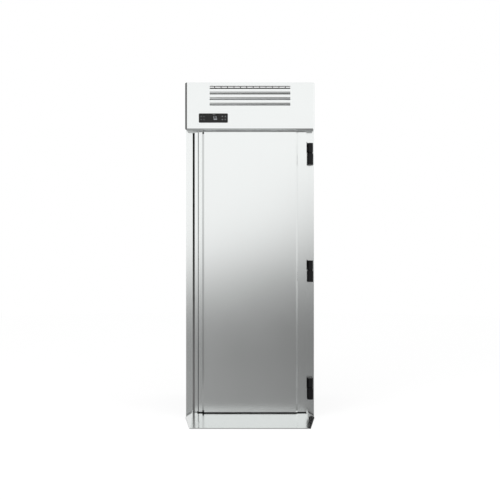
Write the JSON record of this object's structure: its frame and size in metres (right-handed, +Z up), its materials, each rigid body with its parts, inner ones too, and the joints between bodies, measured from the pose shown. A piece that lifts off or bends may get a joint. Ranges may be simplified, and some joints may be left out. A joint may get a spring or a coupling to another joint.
{
  "type": "roll-in refrigerator",
  "caption": "Upright stainless roll-in refrigerator with a full-height hinged door, entry ramp, louvred tilting fascia and top-mounted cooling unit.",
  "frame": {"origin": "floor level, middle of the cabinet's footprint (the ramp in front is not counted)", "axes": "+X right seen from the front, +Y towards the back, +Z up"},
  "size_m": [0.857, 1.314, 2.207],
  "materials": {
    "stainless": "satin",
    "stainless_inner": "satin",
    "galvanised": "satin",
    "foam": "matte",
    "white_plastic": "satin",
    "black_plastic": "satin",
    "clear_plastic": "gloss",
    "black_rubber": "matte",
    "grey_rubber": "matte",
    "hinge_black": "satin",
    "black_enamel": "satin",
    "pin_steel": "polished",
    "aluminium_fins": "satin",
    "copper": "satin",
    "dark_panel": "gloss"
  },
  "bodies": {
    "cabinet": {"floor_pan": "galvanised", "floor_core": "foam", "floor_plate": "stainless_inner", "floor_coves": "stainless_inner", "side_wall_cores": "foam", "back_wall_core": "foam", "ceiling_core": "foam", "left_outer_skin": "stainless", "right_outer_skin": "stainless", "back_outer_skin": "galvanised", "top_deck": "stainless", "side_liners": "stainless_inner", "back_liner": "stainless_inner", "ceiling_liner": "stainless_inner", "breaker_strips": "white_plastic", "bumper_rails": "stainless_inner", "air_duct_panel": "white_plastic", "lamp_housing": "white_plastic", "lamp_lens": "clear_plastic", "temperature_probe": "black_plastic", "ramp": "stainless", "hinge_frame_halves": "hinge_black", "hinge_lower_cams": "white_plastic", "side_shrouds": "stainless", "top_cover": "stainless", "rear_guard": "galvanised", "compressor": "black_enamel", "compressor_feet": "black_rubber", "compressor_terminal_cover": "black_plastic", "condenser_coil": "aluminium_fins", "condenser_fan_shroud": "galvanised", "condenser_fan_motor": "black_enamel", "filter_drier": "copper", "refrigerant_lines": "copper", "evaporator_housing": "stainless", "evaporator_coil": "aluminium_fins", "evaporator_fan_motors": "black_enamel", "fan_guards": "white_plastic", "electrical_box": "galvanised", "electrical_box_lid": "galvanised", "cable_gland": "black_plastic", "condensate_tray": "galvanised", "drain_tube": "white_plastic", "fascia_hinge_arms": "galvanised"},
    "pins": {"hinge_pins": "pin_steel"},
    "door": {"door_skin": "stainless", "door_core": "foam", "door_liner": "stainless_inner", "door_gasket": "grey_rubber", "door_end_caps": "black_plastic", "door_grip_profile": "black_plastic", "door_sweep": "black_rubber", "hinge_door_halves": "hinge_black", "hinge_upper_cams": "white_plastic"},
    "fascia": {"fascia_shell": "stainless", "controller_bezel": "black_plastic", "controller_panel": "dark_panel"},
    "front_fan": {"condenser_fan": "aluminium_fins"},
    "left_fan": {"evaporator_fan_left": "aluminium_fins"},
    "right_fan": {"evaporator_fan_right": "aluminium_fins"}
  },
  "joints": [
    {"name": "door_lift", "type": "slide", "parent": "cabinet", "child": "pins", "axis": [0, 0, 1], "range_m": [0, 0.0075]},
    {"name": "door_swing", "type": "hinge", "parent": "pins", "child": "door", "pos_m": [0.399, -0.481, 0.971], "axis": [0, 0, 1], "range_deg": [0, 110]},
    {"name": "fascia_tilt", "type": "hinge", "parent": "cabinet", "child": "fascia", "pos_m": [0, -0.492, 2.197], "axis": [-1, 0, 0], "range_deg": [0, 75]},
    {"name": "condenser_fan_spin", "type": "hinge", "parent": "cabinet", "child": "front_fan", "pos_m": [0, -0.318, 2.023], "axis": [0, 1, 0], "continuous": true},
    {"name": "left_fan_spin", "type": "hinge", "parent": "cabinet", "child": "left_fan", "pos_m": [-0.16, 0.165, 1.9], "axis": [0, 0, 1], "continuous": true},
    {"name": "right_fan_spin", "type": "hinge", "parent": "cabinet", "child": "right_fan", "pos_m": [0.16, 0.165, 1.9], "axis": [0, 0, 1], "continuous": true}
  ],
  "couplings": [
    {"joint": "door_lift", "follows": "door_swing", "m_per_rad": 0.0038197}
  ]
}
